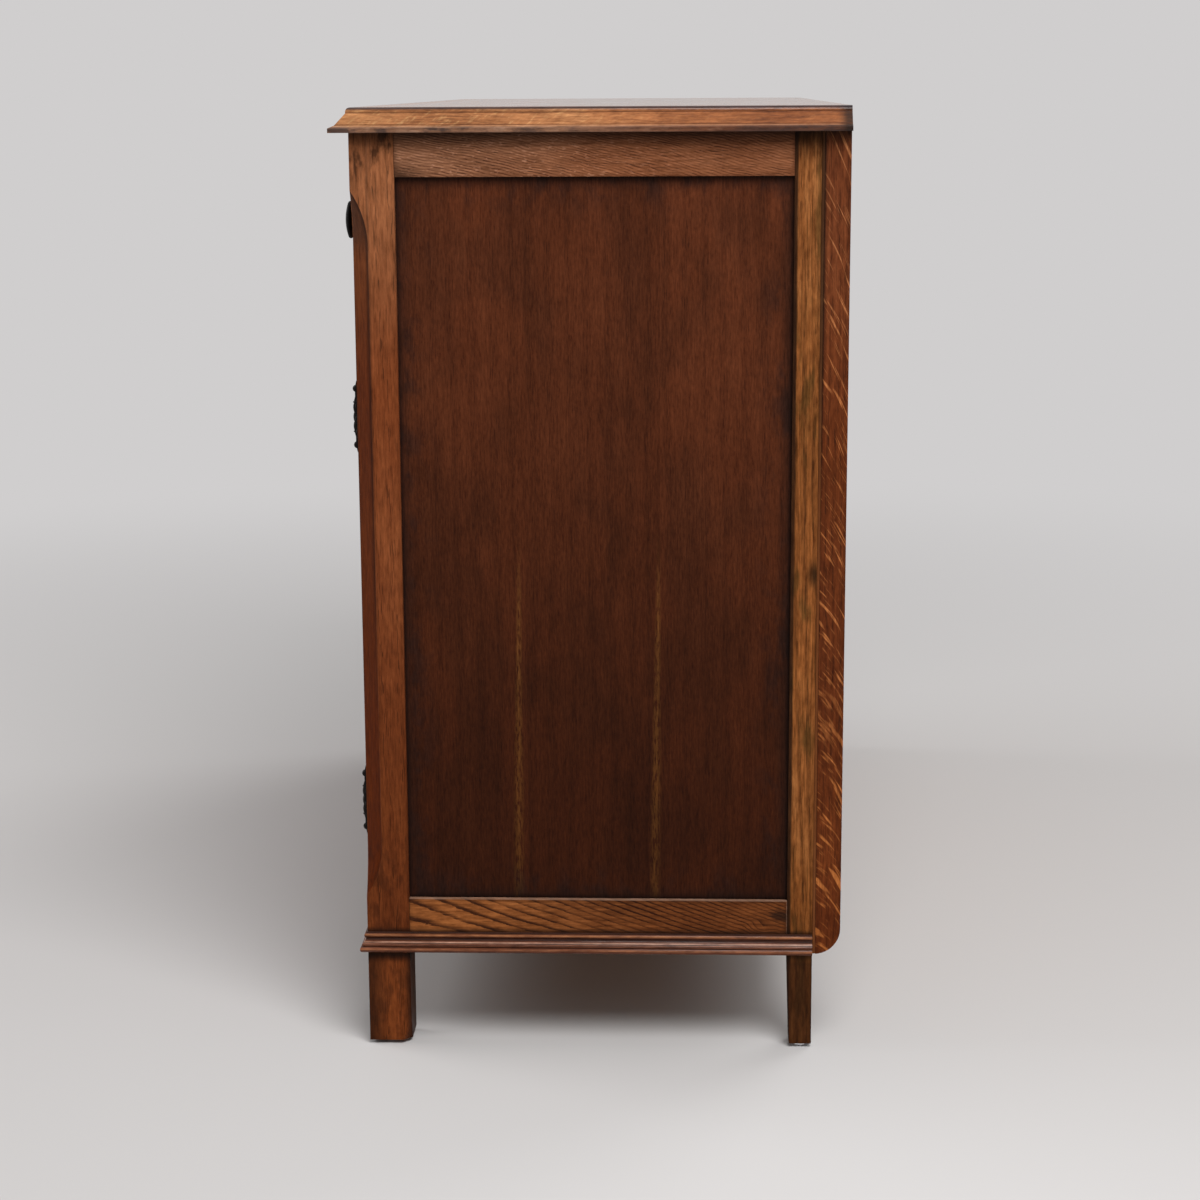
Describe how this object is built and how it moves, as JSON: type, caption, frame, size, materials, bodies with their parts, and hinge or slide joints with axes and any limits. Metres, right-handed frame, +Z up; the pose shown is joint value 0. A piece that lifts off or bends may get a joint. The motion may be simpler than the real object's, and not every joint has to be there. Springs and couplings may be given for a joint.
{
  "type": "sideboard",
  "caption": "Free-standing dark oak sideboard with drawers over panelled cupboard doors, stop-chamfered posts, moulded top and base, and black iron hinges and knobs.",
  "frame": {"origin": "on the floor, below the middle of the whole piece, knobs included", "axes": "+Z up, +X along the length to the right of a person facing the front, front faces -Y"},
  "size_m": [1.22, 0.5056, 0.94],
  "materials": {
    "oak_frame": "satin polish",
    "oak_top": "polished",
    "oak_moulding": "polished",
    "oak_veneer": "satin polish",
    "oak_gold": "satin polish",
    "oak_quartered": "satin polish",
    "inner_wood": "bare, aged",
    "plywood": "bare, aged",
    "black_iron": "black, waxed",
    "steel": "worn bright"
  },
  "bodies": {
    "carcase": {"back_panel": "plywood", "back_post_left": "oak_gold", "back_post_right": "oak_gold", "back_rails": "inner_wood", "base_moulding_front": "oak_moulding", "base_moulding_left": "oak_moulding", "base_moulding_right": "oak_moulding", "centre_stile": "oak_frame", "cleats": "inner_wood", "cupboard_floor": "inner_wood", "drawer_divider": "oak_frame", "drawer_guides": "inner_wood", "drawer_kickers": "inner_wood", "drawer_rail": "oak_frame", "drawer_runners": "inner_wood", "drawer_stops": "inner_wood", "end_bottom_rail_left": "oak_frame", "end_bottom_rail_right": "oak_frame", "end_panel_left": "oak_veneer", "end_panel_right": "oak_veneer", "end_top_rail_left": "oak_frame", "end_top_rail_right": "oak_frame", "front_bottom_rail": "oak_frame", "front_post_left": "oak_frame", "front_post_right": "oak_frame", "front_top_rail": "oak_frame", "glides": "steel", "hinge_pins": "black_iron", "hinge_post_leaves": "black_iron", "partition": "inner_wood", "shelf_left": "inner_wood", "shelf_right": "inner_wood", "top_edge_front": "oak_top", "top_edge_left": "oak_top", "top_edge_right": "oak_top", "top_panel": "oak_top", "wall_strip_left": "oak_quartered", "wall_strip_right": "oak_quartered"},
    "drawer_right": {"drawer_back_right": "inner_wood", "drawer_bottom_right": "plywood", "drawer_front_right": "oak_frame", "drawer_knobs_right": "black_iron", "drawer_sides_right": "inner_wood"},
    "drawer_left": {"drawer_back_left": "inner_wood", "drawer_bottom_left": "plywood", "drawer_front_left": "oak_frame", "drawer_knobs_left": "black_iron", "drawer_sides_left": "inner_wood"},
    "door_right": {"door_hinge_leaves_right": "black_iron", "door_panel_right": "oak_veneer", "door_rails_right": "oak_frame", "door_stiles_right": "oak_frame"},
    "door_left": {"door_hinge_leaves_left": "black_iron", "door_panel_left": "oak_veneer", "door_rails_left": "oak_frame", "door_stiles_left": "oak_frame"},
    "catch_right": {"door_catch_right": "black_iron", "door_knob_right": "black_iron"},
    "catch_left": {"door_catch_left": "black_iron", "door_knob_left": "black_iron"}
  },
  "joints": [
    {"name": "drawer_right_slide", "type": "slide", "parent": "carcase", "child": "drawer_right", "axis": [0, -1, 0], "range_m": [0, 0.33]},
    {"name": "door_right_hinge", "type": "hinge", "parent": "carcase", "child": "door_right", "pos_m": [0.54905, -0.22865, 0.443], "axis": [0, 0, 1], "range_deg": [0, 165]},
    {"name": "catch_right_turn", "type": "hinge", "parent": "door_right", "child": "catch_right", "pos_m": [0.0535, -0.22475, 0.47], "axis": [0, -1, 0], "range_deg": [0, 90]},
    {"name": "drawer_left_slide", "type": "slide", "parent": "carcase", "child": "drawer_left", "axis": [0, -1, 0], "range_m": [0, 0.33]},
    {"name": "door_left_hinge", "type": "hinge", "parent": "carcase", "child": "door_left", "pos_m": [-0.54905, -0.22865, 0.443], "axis": [0, 0, -1], "range_deg": [0, 165]},
    {"name": "catch_left_turn", "type": "hinge", "parent": "door_left", "child": "catch_left", "pos_m": [-0.0535, -0.22475, 0.47], "axis": [0, 1, 0], "range_deg": [0, 90]}
  ]
}
